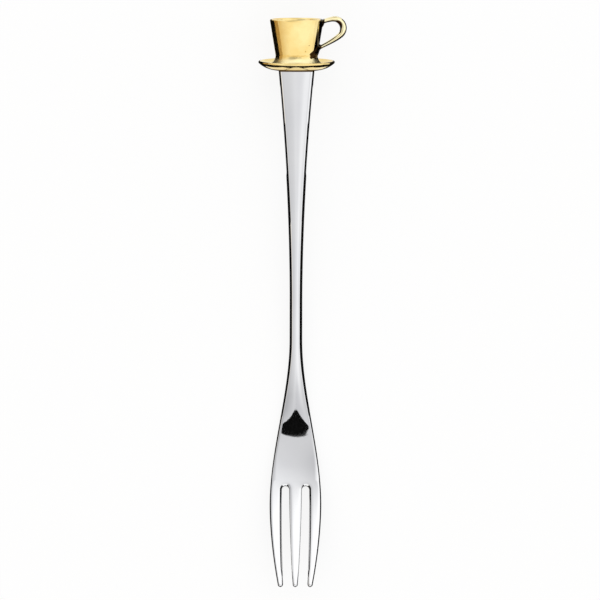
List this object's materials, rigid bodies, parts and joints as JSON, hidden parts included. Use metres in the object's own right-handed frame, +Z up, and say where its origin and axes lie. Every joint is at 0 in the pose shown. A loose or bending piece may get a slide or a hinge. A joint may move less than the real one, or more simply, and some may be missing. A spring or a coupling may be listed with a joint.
{
  "type": "pastry fork",
  "caption": "Slim pastry fork of mirror-polished steel with a narrow neck, a flared handle and a small gilt cup and saucer as its finial.",
  "frame": {"origin": "middle of the flat under the heel, where the lying fork meets the table, on its plane of symmetry", "axes": "+Y up the handle to the cup, +X across to the side of the cup's ear, +Z up off the table, the way that the fork's face looks"},
  "size_m": [0.0231, 0.1498, 0.0199],
  "materials": {
    "polished_steel": "mirror-polished stainless steel",
    "gilt": "cast brass, polished and gold plated",
    "braze": "braze metal under the same gold plating"
  },
  "bodies": {
    "root": {"fork_blank": "polished_steel", "tang_braze": "braze", "saucer": "gilt", "foot_braze": "braze", "cup": "gilt", "cup_ear": "gilt", "ear_upper_braze": "braze", "ear_lower_braze": "braze"}
  },
  "joints": []
}
